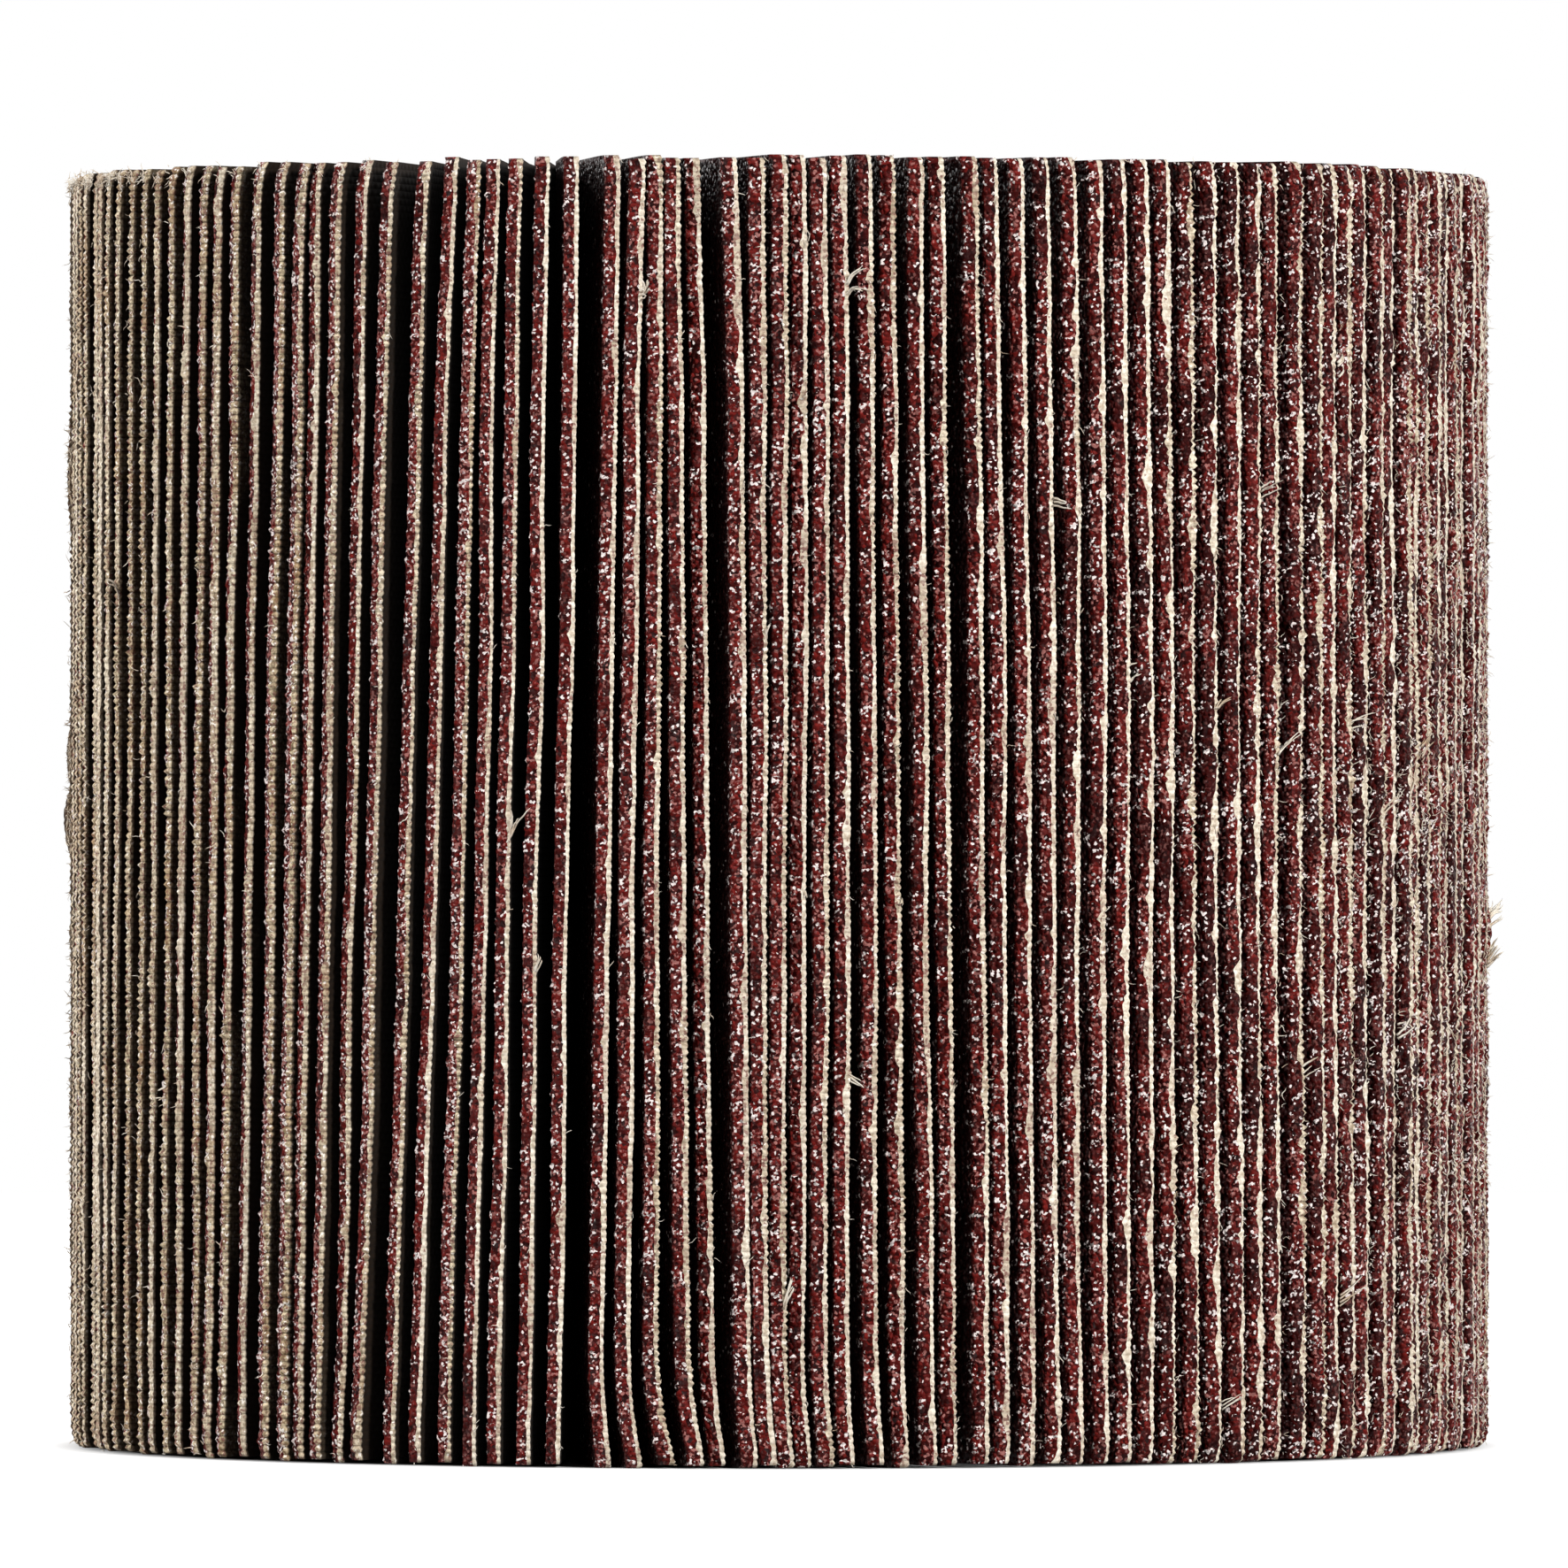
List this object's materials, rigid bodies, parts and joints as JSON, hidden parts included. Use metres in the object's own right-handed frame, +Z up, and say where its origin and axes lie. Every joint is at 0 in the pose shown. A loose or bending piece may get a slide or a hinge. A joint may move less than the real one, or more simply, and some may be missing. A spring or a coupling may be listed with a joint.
{
  "type": "flap wheel",
  "caption": "Drum-shaped flap wheel: curved flaps of abrasive cloth set radially in a resin core round a moulded sleeve with a keyed bore.",
  "frame": {"origin": "on the wheel's axis, in the plane of the lower flap ends that it stands on", "axes": "+Z up along the bore's axis; every axis in the XY plane is alike"},
  "size_m": [0.112, 0.112, 0.1],
  "materials": {
    "coated_cloth": "satin",
    "sleeve_plastic": "matte"
  },
  "bodies": {
    "root": {"flap_pack": "coated_cloth", "hub_sleeve": "sleeve_plastic"}
  },
  "joints": []
}
